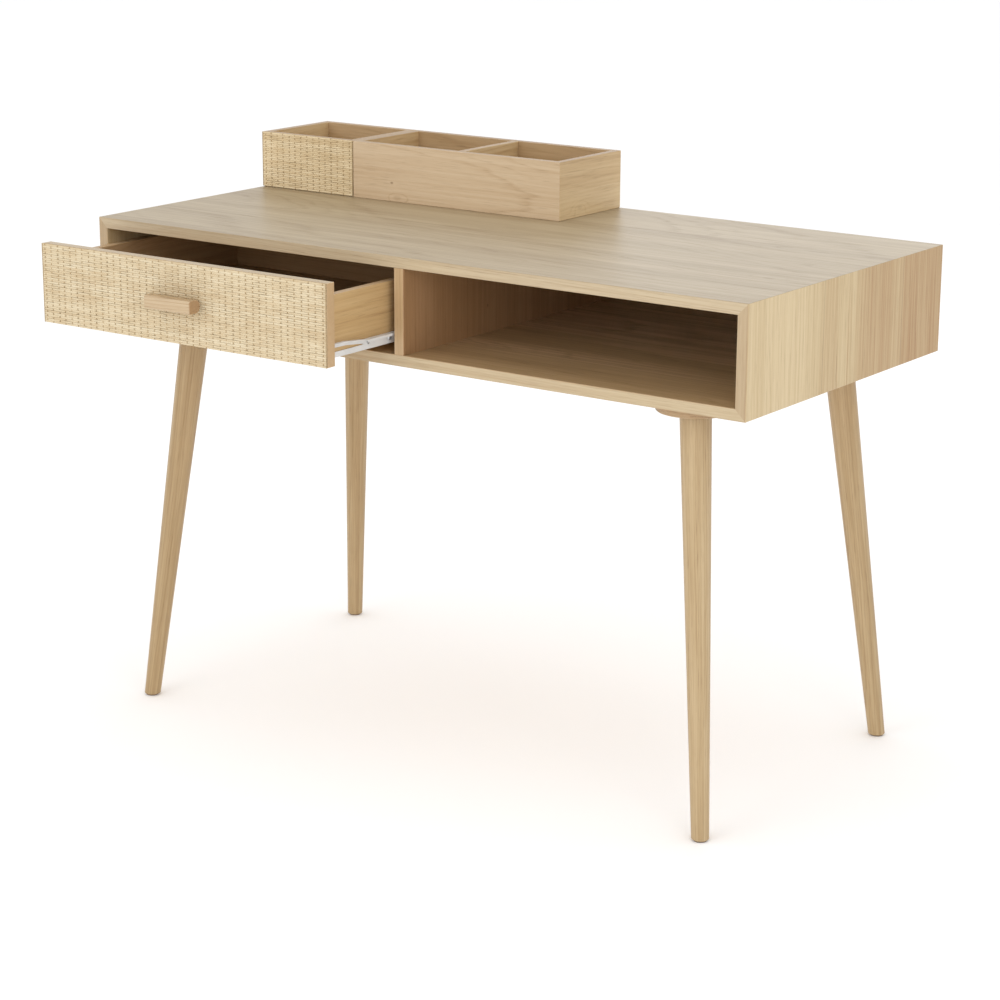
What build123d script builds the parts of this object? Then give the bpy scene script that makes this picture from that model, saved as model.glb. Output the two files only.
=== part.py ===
"""A writing desk with an under-desk drawer, an open shelf and a desktop organiser.

Millimetres, +Z up, +X to the right, the front faces -Y. The origin is on the floor
under the middle of the whole object, with the drawer drawn out by DRAWER_OPEN.
"""

import math
import os

from build123d import *

# ---------------------------------------------------------------- case
CASE_WIDTH = 1150.0
CASE_DEPTH = 555.0
CASE_HEIGHT = 158.0
DESKTOP_Z = 765.0
BOARD = 16.5
FRONT_Y = -190.5
ARRIS = 0.6
CORNER_ARRIS = 1.0

HALF_WIDTH = CASE_WIDTH / 2
BACK_Y = FRONT_Y + CASE_DEPTH
CASE_BOTTOM_Z = DESKTOP_Z - CASE_HEIGHT
INNER_HALF = HALF_WIDTH - BOARD
INNER_TOP_Z = DESKTOP_Z - BOARD
INNER_BOTTOM_Z = CASE_BOTTOM_Z + BOARD

DIVIDER_X0 = -4.25
DIVIDER_X1 = DIVIDER_X0 + BOARD
BACK_THICK = 8.0
RABBET = 8.0
BACK_FACE_Y = BACK_Y - BACK_THICK

# ---------------------------------------------------------------- drawer
DRAWER_OPEN = 146.0
FRONT_GAP = 5.5
FRONT_BOTTOM_Z = 627.8
FRONT_TOP_Z = 746.8
FACING = 2.8
FACING_Y = FRONT_Y - DRAWER_OPEN
FRONT_BOARD_Y = FACING_Y + FACING
BOX_FRONT_Y = FRONT_BOARD_Y + BOARD
BOX_LENGTH = 410.0
BOX_BACK_Y = BOX_FRONT_Y + BOX_LENGTH
SIDE_THICK = 12.0
SIDE_BOTTOM_Z = 639.2
SIDE_TOP_Z = 727.4
RUNNER_GAP = 12.5
BOTTOM_THICK = 5.0
BOTTOM_Z = 652.0
GROOVE = 6.0

LEFT_WALL_X = -INNER_HALF
RIGHT_WALL_X = DIVIDER_X0
BOX_X0 = LEFT_WALL_X + RUNNER_GAP
BOX_X1 = RIGHT_WALL_X - RUNNER_GAP

# ---------------------------------------------------------------- handle
HANDLE_LENGTH = 87.0
HANDLE_DEPTH = 28.0
HANDLE_X = -280.0
HANDLE_Z = 690.0
HANDLE_HEIGHT = 20.0
HANDLE_GAP = 4.8
HANDLE_FRONT_R = 3.5
HANDLE_BACK_R = 9.5
HANDLE_END_EASE = 0.8
NECK_HEIGHT = 9.0
NECK_INSET = 8.0

# ---------------------------------------------------------------- runners
SHEET = 1.2
ROLLER_R = 6.7
AXLE_R = 2.0
BORE_R = 2.05
RUNNER_LENGTH = 400.0
CASE_RUNNER_Y = FRONT_Y + BOARD + FACING + 1.2
CASE_RUNNER_Z0 = 634.0
CASE_RUNNER_Z1 = 661.7
CASE_STOP_Z = 649.0
CASE_ROLLER_Z = 645.5
CASE_ROLLER_Y = CASE_RUNNER_Y + 9.0
DRAWER_RUNNER_Z0 = 638.0
DRAWER_RUNNER_Z1 = 653.5
DRAWER_RAMP_Z = 658.4
DRAWER_ROLLER_Z = CASE_RUNNER_Z0 + SHEET + 0.1 + ROLLER_R
DRAWER_ROLLER_Y = BOX_FRONT_Y + RUNNER_LENGTH - 14.0

# ---------------------------------------------------------------- organiser
ORG_DEPTH = 169.0
ORG_HEIGHT = 90.0
ORG_BOARD = 12.0
ORG_X0 = -HALF_WIDTH
ORG_SEAM = -385.0
SEAM_GAP = 0.8
ORG_X1 = 15.0
ORG_DIVIDER_X = -184.5
ORG_FLOOR = 6.0
ORG_RIM_EASE = 0.4
ORG_FOOT_EASE = 0.9
ORG_Y0 = BACK_Y - ORG_DEPTH
ORG_TOP_Z = DESKTOP_Z + ORG_HEIGHT

# ---------------------------------------------------------------- legs
LEG_TOP_X = 451.0
LEG_TOP_Y = 199.5
LEG_FOOT_X = 512.0
LEG_FOOT_Y = 259.5
LEG_TOP_R = 22.5
LEG_FOOT_R = 12.6
LEG_MID_Y = (FRONT_Y + BACK_Y) / 2
PLATE_R = 54.5
PLATE_THICK = 15.0
GLIDE_R = 10.0
GLIDE_THICK = 2.0

CORNERS = {
    "front_left": (-1, -1),
    "front_right": (1, -1),
    "back_left": (-1, 1),
    "back_right": (1, 1),
}


def slab(x0, x1, y0, y1, z0, z1):
    """A plain board between two opposite corners."""
    size = (x1 - x0, y1 - y0, z1 - z0)
    middle = ((x0 + x1) / 2, (y0 + y1) / 2, (z0 + z1) / 2)
    return Pos(*middle) * Box(*size)


def eased(board, amount=ARRIS):
    """The board with all its sharp arrises taken off."""
    return chamfer(board.edges(), amount)


def rod(start, end, radius):
    """A round bar from one point to another."""
    a = Vector(*start)
    b = Vector(*end)
    plane = Plane(origin=a, z_dir=b - a)
    return extrude(plane * Circle(radius), amount=(b - a).length)


def cone_between(start, end, r0, r1):
    """A round taper from one point to another."""
    a = Vector(*start)
    b = Vector(*end)
    axis = b - a
    plane = Plane(origin=a, z_dir=axis)
    middle = plane.location * Pos(0, 0, axis.length / 2)
    return middle * Cone(r0, r1, axis.length)


def cross_slot(top, direction, head_r, head_h):
    """The cross-shaped recess for a driver in the top of a screw head."""
    place = Plane(origin=top, z_dir=direction).location
    reach = 1.25 * head_r
    width = 0.30 * head_r
    depth = 2 * 0.6 * head_h
    return place * (Box(reach, width, depth) + Box(width, reach, depth))


def screw(head, direction, length, radius, head_r, head_h):
    """A countersunk wood screw whose flat head lies on the point given."""
    d = Vector(*direction).normalized()
    top = Vector(*head)
    under = top + d * head_h
    tip = top + d * (length - 2 * radius)
    end = top + d * length
    body = cone_between(top, under, head_r, radius)
    body += rod(under, tip, radius)
    body += cone_between(tip, end, radius, 0.3)
    body.slot = cross_slot(top, d, head_r, head_h)
    return body


def pan_screw(seat, direction, length, radius, head_r, head_h):
    """A screw whose low round head stands on the surface at the point given."""
    d = Vector(*direction).normalized()
    base = Vector(*seat)
    top = base - d * head_h
    tip = base + d * (length - 2 * radius)
    end = base + d * length
    body = cone_between(top, base, head_r * 0.72, head_r)
    body += rod(base, tip, radius)
    body += cone_between(tip, end, radius, 0.3)
    body.slot = cross_slot(top, d, head_r * 0.85, head_h)
    return body


def cut(board, tools):
    """The board with a hole for each of the pieces that go into it."""
    for tool in tools:
        board = board - tool
    return board


def group(solids):
    """Separate equal pieces kept together under one name."""
    return Compound(children=list(solids))


def slotted(screws):
    """Screws with their driver recesses, kept together under one name."""
    return group(one - one.slot for one in screws)


nodes = {}


# ================================================================ case
outer = slab(-HALF_WIDTH, HALF_WIDTH, FRONT_Y, BACK_Y, CASE_BOTTOM_Z, DESKTOP_Z)
outer = fillet(outer.edges().filter_by(Axis.Y), CORNER_ARRIS)
hollow = slab(-INNER_HALF, INNER_HALF, FRONT_Y - 1, BACK_Y + 1, INNER_BOTTOM_Z, INNER_TOP_Z)
ring = outer - hollow
front_rim = ring.faces().sort_by(Axis.Y)[0].edges()
ring = chamfer(front_rim, ARRIS)
ring -= slab(
    -INNER_HALF - RABBET,
    INNER_HALF + RABBET,
    BACK_FACE_Y,
    BACK_Y + 1,
    INNER_BOTTOM_Z - RABBET,
    INNER_TOP_Z + RABBET,
)

# plywood tongues across the four mitres
splines = []
for sx in (-1, 1):
    for sz in (-1, 1):
        middle_z = (DESKTOP_Z + CASE_BOTTOM_Z) / 2 + sz * (CASE_HEIGHT - BOARD) / 2
        middle_x = sx * (HALF_WIDTH - BOARD / 2)
        turn = 45 if sx * sz > 0 else -45
        tongue = Rot(0, turn, 0) * Box(10.0, CASE_DEPTH - 50.0, 3.0)
        splines.append(Pos(middle_x, LEG_MID_Y - 5.0, middle_z) * tongue)

# dowels that hold the upright between the drawer and the shelf
divider_dowels = []
for y in (FRONT_Y + 60, FRONT_Y + 200, FRONT_Y + 340, FRONT_Y + 480):
    x = (DIVIDER_X0 + DIVIDER_X1) / 2
    divider_dowels.append(rod((x, y, INNER_TOP_Z - 14), (x, y, INNER_TOP_Z + 11), 3.0))
    divider_dowels.append(rod((x, y, INNER_BOTTOM_Z - 11), (x, y, INNER_BOTTOM_Z + 14), 3.0))

back_screws = []
for i in range(6):
    x = -500 + 200 * i
    for z in (INNER_TOP_Z + RABBET / 2, INNER_BOTTOM_Z - RABBET / 2):
        back_screws.append(screw((x, BACK_Y, z), (0, -1, 0), 25, 1.5, 3.0, 2.0))
for x in (-INNER_HALF - RABBET / 2, INNER_HALF + RABBET / 2):
    back_screws.append(screw((x, BACK_Y, 686), (0, -1, 0), 25, 1.5, 3.0, 2.0))

# ================================================================ organiser
org_back = BACK_Y - ORG_BOARD
org_inner = ORG_Y0 + ORG_BOARD
floor_top = DESKTOP_Z + ORG_FLOOR
box_end = ORG_SEAM - SEAM_GAP / 2
tray_end = ORG_SEAM + SEAM_GAP / 2
box_x0 = ORG_X0 + ORG_BOARD
box_x1 = box_end - ORG_BOARD
tray_x0 = tray_end + ORG_BOARD
tray_x1 = ORG_X1 - ORG_BOARD
divider_x1 = ORG_DIVIDER_X + ORG_BOARD

organizer_dowels = []
for z in (DESKTOP_Z + 22, ORG_TOP_Z - 20):
    for x in (ORG_X0 + 6, ORG_SEAM - 6, ORG_SEAM + 6, ORG_DIVIDER_X + 6):
        organizer_dowels.append(rod((x, org_inner - 7, z), (x, org_inner + 13, z), 2.5))
    organizer_dowels.append(
        rod((ORG_DIVIDER_X + 6, org_back - 13, z), (ORG_DIVIDER_X + 6, org_back + 7, z), 2.5)
    )
    for x, step in ((box_x0, 1), (box_x1, -1), (tray_x0, 1)):
        organizer_dowels.append(
            rod((x - 7 * step, org_back + 6, z), (x + 13 * step, org_back + 6, z), 2.5)
        )

organizer_screws = []
for x in (box_x0 + 30, box_x1 - 30, tray_x0 + 40, divider_x1 + 70):
    at = (x, (org_inner + org_back) / 2, floor_top)
    organizer_screws.append(screw(at, (0, 0, -1), 18, 2.0, 4.0, 2.4))

box_parts = {
    "box_front_backer": slab(
        ORG_X0, box_end, ORG_Y0 + FACING, org_inner, DESKTOP_Z, ORG_TOP_Z
    ),
    "box_woven_facing": slab(
        ORG_X0, box_end, ORG_Y0, ORG_Y0 + FACING, DESKTOP_Z, ORG_TOP_Z
    ),
    "box_left_end": slab(ORG_X0, box_x0, org_inner, BACK_Y, DESKTOP_Z, ORG_TOP_Z),
    "box_right_end": slab(box_x1, box_end, org_inner, BACK_Y, DESKTOP_Z, ORG_TOP_Z),
    "box_back": slab(box_x0, box_x1, org_back, BACK_Y, DESKTOP_Z, ORG_TOP_Z),
    "box_floor": slab(box_x0, box_x1, org_inner, org_back, DESKTOP_Z, floor_top),
    "tray_left_end": slab(tray_end, tray_x0, org_inner, BACK_Y, DESKTOP_Z, ORG_TOP_Z),
    "tray_floor": slab(tray_x0, tray_x1, org_inner, org_back, DESKTOP_Z, floor_top),
    "tray_divider": slab(
        ORG_DIVIDER_X, divider_x1, org_inner, org_back, floor_top, ORG_TOP_Z
    ),
}
plain = ("box_woven_facing", "box_floor", "tray_floor")
for name, board in box_parts.items():
    if name not in plain:
        board = eased(board, ORG_RIM_EASE)
    nodes[name] = cut(board, organizer_dowels + organizer_screws)

# the tray's front, right end and back are mitred, so they are drawn in plan
tray_plans = {
    "tray_front": [
        (tray_end, ORG_Y0),
        (ORG_X1, ORG_Y0),
        (tray_x1, org_inner),
        (tray_end, org_inner),
    ],
    "tray_right_end": [
        (ORG_X1, ORG_Y0),
        (ORG_X1, BACK_Y),
        (tray_x1, org_back),
        (tray_x1, org_inner),
    ],
    "tray_back": [
        (tray_x0, org_back),
        (tray_x1, org_back),
        (ORG_X1, BACK_Y),
        (tray_x0, BACK_Y),
    ],
}
for name, plan in tray_plans.items():
    outline = Pos(0, 0, DESKTOP_Z) * make_face(Polyline(*plan, close=True))
    board = extrude(outline, amount=ORG_HEIGHT, dir=(0, 0, 1))
    board = chamfer(board.edges().group_by(Axis.Z)[0], ORG_FOOT_EASE)
    board = chamfer(board.edges().group_by(Axis.Z)[-1], ORG_RIM_EASE)
    nodes[name] = cut(board, organizer_dowels + organizer_screws)

nodes["organizer_dowels"] = group(organizer_dowels)
nodes["organizer_screws"] = slotted(organizer_screws)

# ================================================================ legs
leg_bolts = []
plate_screws = []
for name, (sx, sy) in CORNERS.items():
    top = Vector(sx * LEG_TOP_X, LEG_MID_Y + sy * LEG_TOP_Y, CASE_BOTTOM_Z)
    foot = Vector(sx * LEG_FOOT_X, LEG_MID_Y + sy * LEG_FOOT_Y, 0)
    along = (foot - top).normalized()
    plate_bottom = CASE_BOTTOM_Z - PLATE_THICK
    stretch = 20.0
    run = (foot - top).length
    growth = (LEG_TOP_R - LEG_FOOT_R) / run * stretch

    taper = cone_between(
        top - along * stretch,
        foot + along * stretch,
        LEG_TOP_R + growth,
        LEG_FOOT_R - growth,
    )
    leg = taper & slab(
        top.X - 200, top.X + 200, top.Y - 200, top.Y + 200, GLIDE_THICK, plate_bottom
    )
    foot_rim = leg.faces().sort_by(Axis.Z)[0].edges()
    leg = chamfer(foot_rim, 1.2)

    # a bolt along the leg's axis, half in the leg and half in the plate
    joint = top + along * (PLATE_THICK / -along.Z)
    bolt = rod(joint + along * 32, joint - along * 11, 4.0)
    leg_bolts.append(bolt)

    plate = Pos(top.X, top.Y, plate_bottom) * extrude(Circle(PLATE_R), amount=PLATE_THICK)
    plate_rim = plate.edges().filter_by(GeomType.CIRCLE).sort_by(Axis.Z)[0]
    plate = chamfer(plate_rim, 1.5)
    for k in range(4):
        angle = math.radians(45 + 90 * k)
        x = top.X + 41 * math.cos(angle)
        y = top.Y + 41 * math.sin(angle)
        plate_screws.append(screw((x, y, plate_bottom), (0, 0, 1), 27, 2.0, 4.2, 2.6))

    nail_r = 1.6
    glide = Pos(foot.X, foot.Y, 0) * extrude(Circle(GLIDE_R), amount=GLIDE_THICK)
    glide = chamfer(glide.edges().sort_by(Axis.Z)[0], 0.6)
    nail = rod((foot.X, foot.Y, GLIDE_THICK), (foot.X, foot.Y, 16.0), nail_r)
    nodes["leg_" + name] = cut(leg, [bolt, nail])
    nodes["leg_plate_" + name] = cut(plate, [bolt] + plate_screws[-4:])
    nodes["foot_glide_" + name] = glide + nail

nodes["leg_hanger_bolts"] = group(leg_bolts)
nodes["leg_plate_screws"] = slotted(plate_screws)


# ================================================================ runners
def side_box(wall, sign, u0, u1, y0, y1, z0, z1):
    """A block whose u is measured from the wall the runner is screwed to."""
    xa = wall + sign * u0
    xb = wall + sign * u1
    return slab(min(xa, xb), max(xa, xb), y0, y1, z0, z1)


def u_rod(wall, sign, u0, u1, y, z, radius):
    """A round pin square to the wall."""
    return rod((wall + sign * u0, y, z), (wall + sign * u1, y, z), radius)


def track_profile(y0, y1, z0, z1, front_z):
    """The drawer member's web, with its fork at the front and the raised ramp."""
    ramp_end = y0 + 72.0
    points = [
        (y0, z0 + 1.5),
        (y0 + 12, z0),
        (y1, z0),
        (y1, z1),
        (ramp_end, z1),
        (y0 + 26, front_z),
        (y0, front_z),
        (y0, front_z - 6.0),
        (y0 + 30, front_z - 6.6),
        (ramp_end - 4, z0 + 9.6),
        (ramp_end - 1, z0 + 8.8),
        (ramp_end - 4, z0 + 8.0),
        (y0, z0 + 8.0),
    ]
    return Polyline(*points, close=True)


case_runner_screws = []
drawer_runner_screws = []
case_rivets = []
drawer_rivets = []
case_runner_y1 = CASE_RUNNER_Y + RUNNER_LENGTH
sides = (("left", LEFT_WALL_X, 1), ("right", RIGHT_WALL_X, -1))

for side, wall, sign in sides:
    # member on the case: a channel with a low lip that the drawer's roller runs in
    y0 = CASE_RUNNER_Y
    y1 = case_runner_y1
    member = side_box(wall, sign, 0, SHEET, y0, y1, CASE_RUNNER_Z0, CASE_RUNNER_Z1)
    member += side_box(wall, sign, 0, 9.5, y0, y1, CASE_RUNNER_Z0, CASE_RUNNER_Z0 + SHEET)
    member += side_box(wall, sign, 8.3, 9.5, y0, y1, CASE_RUNNER_Z0, CASE_RUNNER_Z0 + 3.2)
    member += side_box(wall, sign, 0, 5.0, y0, y1, CASE_RUNNER_Z1 - SHEET, CASE_RUNNER_Z1)
    member += side_box(wall, sign, 0, 9.5, y1 - SHEET, y1, CASE_RUNNER_Z0, CASE_STOP_Z)

    screws = []
    for y in (y0 + 37, y0 + 149, y0 + 261, y0 + 373):
        seat = (wall + sign * SHEET, y, 655.0)
        screws.append(pan_screw(seat, (-sign, 0, 0), 14, 1.7, 3.4, 1.0))
    case_runner_screws += screws

    rivet = u_rod(wall, sign, 0, SHEET, CASE_ROLLER_Y, CASE_ROLLER_Z, AXLE_R)
    rivet += u_rod(wall, sign, SHEET, 4.9, CASE_ROLLER_Y, CASE_ROLLER_Z, 4.0)
    rivet += u_rod(wall, sign, 4.9, 9.1, CASE_ROLLER_Y, CASE_ROLLER_Z, AXLE_R)
    rivet += u_rod(wall, sign, 9.1, 10.1, CASE_ROLLER_Y, CASE_ROLLER_Z, 3.4)
    case_rivets.append(rivet)
    nodes["runner_case_" + side] = cut(member, screws + [rivet])

    roller = u_rod(wall, sign, 5.0, 9.0, CASE_ROLLER_Y, CASE_ROLLER_Z, ROLLER_R)
    roller = chamfer(roller.edges().filter_by(GeomType.CIRCLE), 0.5)
    roller -= u_rod(wall, sign, 4.0, 10.0, CASE_ROLLER_Y, CASE_ROLLER_Z, BORE_R)
    nodes["case_roller_" + side] = roller

    # member on the drawer: foot under the side, web against it, track along the top
    y0 = BOX_FRONT_Y
    y1 = BOX_FRONT_Y + RUNNER_LENGTH
    z0 = DRAWER_RUNNER_Z0
    z1 = DRAWER_RUNNER_Z1
    ramp_end = y0 + 72.0
    web_x = wall + sign * (RUNNER_GAP - SHEET)
    plane = Plane(origin=(web_x, 0, 0), x_dir=(0, 1, 0), z_dir=(1, 0, 0))
    web_face = make_face(plane * track_profile(y0, y1, z0, z1, DRAWER_RAMP_Z))
    web = extrude(web_face, amount=SHEET, dir=(sign, 0, 0))
    foot = side_box(wall, sign, 11.3, 24.5, y0 + 12, y1, z0, z0 + SHEET)
    track = side_box(wall, sign, 3.5, 12.5, ramp_end, y1, z1 - SHEET, z1)
    lip = side_box(wall, sign, 3.5, 4.7, ramp_end, y1, z1 - 3.7, z1)
    ramp_points = [
        (y0, DRAWER_RAMP_Z),
        (y0 + 26, DRAWER_RAMP_Z),
        (ramp_end, z1),
        (ramp_end, z1 - SHEET),
        (y0 + 26, DRAWER_RAMP_Z - SHEET),
        (y0, DRAWER_RAMP_Z - SHEET),
    ]
    ramp_plane = Plane(origin=(wall + sign * 6.5, 0, 0), x_dir=(0, 1, 0), z_dir=(1, 0, 0))
    ramp_face = make_face(ramp_plane * Polyline(*ramp_points, close=True))
    ramp = extrude(ramp_face, amount=6.0, dir=(sign, 0, 0))
    member = web + foot + track + lip + ramp
    screws = []
    for y, z, r in (
        (FRONT_Y - 46, 647.3, 2.9),
        (FRONT_Y + 4.5, 645.8, 3.6),
        (FRONT_Y + 120, 645.8, 3.4),
        (FRONT_Y + 230, 645.8, 3.4),
    ):
        seat = (web_x, y, z)
        screws.append(pan_screw(seat, (sign, 0, 0), 11.5, 1.6, r, 0.9))
    drawer_runner_screws += screws

    rivet = u_rod(wall, sign, 11.3, 12.5, DRAWER_ROLLER_Y, DRAWER_ROLLER_Z, AXLE_R)
    rivet += u_rod(wall, sign, 8.1, 11.3, DRAWER_ROLLER_Y, DRAWER_ROLLER_Z, 3.6)
    rivet += u_rod(wall, sign, 2.5, 8.1, DRAWER_ROLLER_Y, DRAWER_ROLLER_Z, AXLE_R)
    rivet += u_rod(wall, sign, 1.5, 2.5, DRAWER_ROLLER_Y, DRAWER_ROLLER_Z, 3.4)
    drawer_rivets.append(rivet)
    nodes["runner_drawer_" + side] = cut(member, screws + [rivet])

    roller = u_rod(wall, sign, 2.6, 8.0, DRAWER_ROLLER_Y, DRAWER_ROLLER_Z, ROLLER_R)
    roller = chamfer(roller.edges().filter_by(GeomType.CIRCLE), 0.5)
    roller -= u_rod(wall, sign, 2.0, 9.0, DRAWER_ROLLER_Y, DRAWER_ROLLER_Z, BORE_R)
    nodes["drawer_roller_" + side] = roller

nodes["runner_case_screws"] = slotted(case_runner_screws)
nodes["runner_drawer_screws"] = slotted(drawer_runner_screws)
nodes["case_roller_rivets"] = group(case_rivets)
nodes["drawer_roller_rivets"] = group(drawer_rivets)

# ================================================================ case boards
wedge = HALF_WIDTH + 6
deep = INNER_HALF - 8
low = CASE_BOTTOM_Z - 6
high = DESKTOP_Z + 6
low_in = INNER_BOTTOM_Z + 8
high_in = INNER_TOP_Z - 8
wedges = {
    "desktop_panel": [(-wedge, high), (wedge, high), (deep, high_in), (-deep, high_in)],
    "case_floor_panel": [(-wedge, low), (-deep, low_in), (deep, low_in), (wedge, low)],
    "left_side_panel": [(-wedge, low), (-wedge, high), (-deep, high_in), (-deep, low_in)],
    "right_side_panel": [(wedge, low), (deep, low_in), (deep, high_in), (wedge, high)],
}
case_tools = {
    "desktop_panel": splines + divider_dowels + back_screws + organizer_screws,
    "case_floor_panel": splines + divider_dowels + back_screws + plate_screws,
    "left_side_panel": splines + back_screws + case_runner_screws,
    "right_side_panel": splines + back_screws,
}
for name, outline in wedges.items():
    # the plane looks along +Y, so its local y is the height
    plane = Plane(origin=(0, FRONT_Y - 2, 0), x_dir=(1, 0, 0), z_dir=(0, -1, 0))
    face = make_face(plane * Polyline(*outline, close=True))
    prism = extrude(face, amount=CASE_DEPTH + 4, dir=(0, 1, 0))
    nodes[name] = cut(ring & prism, case_tools[name])

divider = slab(DIVIDER_X0, DIVIDER_X1, FRONT_Y, BACK_FACE_Y, INNER_BOTTOM_Z, INNER_TOP_Z)
divider_front = divider.faces().sort_by(Axis.Y)[0].edges().filter_by(Axis.Z)
divider = chamfer(divider_front, ARRIS)
nodes["divider_panel"] = cut(divider, divider_dowels + case_runner_screws)

back = slab(
    -INNER_HALF - RABBET,
    INNER_HALF + RABBET,
    BACK_FACE_Y,
    BACK_Y,
    INNER_BOTTOM_Z - RABBET,
    INNER_TOP_Z + RABBET,
)
nodes["back_panel"] = cut(back, back_screws)
nodes["back_panel_screws"] = slotted(back_screws)
nodes["mitre_splines"] = group(splines)
nodes["divider_dowels"] = group(divider_dowels)

# ================================================================ drawer
front_x0 = LEFT_WALL_X + FRONT_GAP
front_x1 = RIGHT_WALL_X - FRONT_GAP

drawer_dowels = []
for x in (BOX_X0 + SIDE_THICK / 2, BOX_X1 - SIDE_THICK / 2):
    for z in (668.0, 692.0, 716.0):
        drawer_dowels.append(rod((x, BOX_FRONT_Y - 10, z), (x, BOX_FRONT_Y + 14, z), 3.0))

back_y0 = BOX_BACK_Y - SIDE_THICK
back_z0 = BOTTOM_Z + BOTTOM_THICK
drawer_back_screws = []
for x, step in ((BOX_X0, 1), (BOX_X1, -1)):
    for z in (668.0, 710.0):
        at = (x, back_y0 + SIDE_THICK / 2, z)
        drawer_back_screws.append(screw(at, (step, 0, 0), 34, 1.7, 3.4, 2.2))

handle_screws = []
for step in (-1, 1):
    at = (HANDLE_X + step * 28, BOX_FRONT_Y, HANDLE_Z)
    handle_screws.append(pan_screw(at, (0, -1, 0), 36, 2.0, 4.2, 2.2))

# solid bar handle: flat front, round back, and a low neck that stands it off the front
bar_depth = HANDLE_DEPTH - HANDLE_GAP
bar_y = FACING_Y - HANDLE_GAP - bar_depth / 2
bar_plane = Plane(
    origin=(HANDLE_X - HANDLE_LENGTH / 2, bar_y, HANDLE_Z), x_dir=(0, 1, 0), z_dir=(1, 0, 0)
)
bar_outline = Rectangle(bar_depth, HANDLE_HEIGHT)
corners = bar_outline.vertices().sort_by(Axis.X)
bar_outline = fillet(corners[:2], HANDLE_FRONT_R)
corners = bar_outline.vertices().sort_by(Axis.X)
bar_outline = fillet(corners[-2:], HANDLE_BACK_R)
handle = extrude(bar_plane * bar_outline, amount=HANDLE_LENGTH)
ends = handle.faces().filter_by(Axis.X)
handle = chamfer(ends.edges(), HANDLE_END_EASE)
neck_x0 = HANDLE_X - HANDLE_LENGTH / 2 + NECK_INSET
neck_x1 = HANDLE_X + HANDLE_LENGTH / 2 - NECK_INSET
handle += slab(
    neck_x0,
    neck_x1,
    bar_y,
    FACING_Y,
    HANDLE_Z - NECK_HEIGHT / 2,
    HANDLE_Z + NECK_HEIGHT / 2,
)
nodes["handle"] = cut(handle, handle_screws)
nodes["handle_screws"] = slotted(handle_screws)

bottom = slab(
    BOX_X0 + SIDE_THICK - GROOVE,
    BOX_X1 - SIDE_THICK + GROOVE,
    BOX_FRONT_Y - GROOVE,
    BOX_BACK_Y,
    BOTTOM_Z,
    BOTTOM_Z + BOTTOM_THICK,
)
front_board = slab(
    front_x0, front_x1, FRONT_BOARD_Y, BOX_FRONT_Y, FRONT_BOTTOM_Z, FRONT_TOP_Z
)
front_board = eased(front_board)
nodes["drawer_front_board"] = cut(front_board, [bottom] + drawer_dowels + handle_screws)
facing = slab(front_x0, front_x1, FACING_Y, FRONT_BOARD_Y, FRONT_BOTTOM_Z, FRONT_TOP_Z)
nodes["drawer_woven_facing"] = cut(facing, handle_screws)
nodes["drawer_bottom"] = bottom

fixings = drawer_dowels + drawer_back_screws + drawer_runner_screws
for side, x0 in (("left", BOX_X0), ("right", BOX_X1 - SIDE_THICK)):
    board = slab(x0, x0 + SIDE_THICK, BOX_FRONT_Y, BOX_BACK_Y, SIDE_BOTTOM_Z, SIDE_TOP_Z)
    board = eased(board, 0.5)
    nodes["drawer_" + side + "_side"] = cut(board, [bottom] + fixings)

drawer_back = slab(
    BOX_X0 + SIDE_THICK, BOX_X1 - SIDE_THICK, back_y0, BOX_BACK_Y, back_z0, SIDE_TOP_Z
)
nodes["drawer_back"] = cut(drawer_back, drawer_back_screws)
nodes["drawer_dowels"] = group(drawer_dowels)
nodes["drawer_back_screws"] = slotted(drawer_back_screws)

# ================================================================ files
os.makedirs("parts", exist_ok=True)
for name, shape in nodes.items():
    export_step(shape, "parts/" + name + ".step")
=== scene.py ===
import math
import random

import bpy
from mathutils import Euler, Matrix, Vector, noise


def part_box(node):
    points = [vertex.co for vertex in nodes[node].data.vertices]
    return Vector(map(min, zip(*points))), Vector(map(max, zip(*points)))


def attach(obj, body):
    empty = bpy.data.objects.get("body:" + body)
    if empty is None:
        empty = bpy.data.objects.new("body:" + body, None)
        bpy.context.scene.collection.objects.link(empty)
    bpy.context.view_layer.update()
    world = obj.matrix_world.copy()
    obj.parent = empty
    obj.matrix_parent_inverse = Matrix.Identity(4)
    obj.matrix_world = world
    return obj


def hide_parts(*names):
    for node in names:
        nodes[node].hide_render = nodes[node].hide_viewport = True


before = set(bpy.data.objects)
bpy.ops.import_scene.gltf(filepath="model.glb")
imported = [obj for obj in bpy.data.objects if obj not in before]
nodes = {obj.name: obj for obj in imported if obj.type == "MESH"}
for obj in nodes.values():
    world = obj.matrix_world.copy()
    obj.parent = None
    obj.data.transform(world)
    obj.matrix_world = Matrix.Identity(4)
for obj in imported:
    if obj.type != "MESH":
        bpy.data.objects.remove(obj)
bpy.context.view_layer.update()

# ---------------------------------------------------------------- driving values, metres
MM = 0.001
WARP_PITCH = 12.6 * MM
WEFT_PITCH = 3.1 * MM
WEFT_THICK = 0.34 * MM
WEFT_BOW = 0.44 * MM
BOW_REACH = 1.7 * MM
BOW_SAMPLES = (-2.9, -1.7, -0.9, 0.0, 0.9, 1.7, 2.9)
WEFT_SWAY = 0.22 * MM
WEFT_HALVES = (0.50, 0.55)
WEFT_SIDES = 8
WARP_HALF = 0.50 * MM
WARP_THICK = 0.30 * MM
WARP_BOW = 0.36 * MM
WARP_STRAY = 0.9 * MM
WARP_STEPS = 4
EDGE_HALF = 0.55 * MM
EDGE_PROUD = 0.45 * MM
BACKING = 0.45 * MM
BOX_CLEAR = 1.0 * MM

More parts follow.
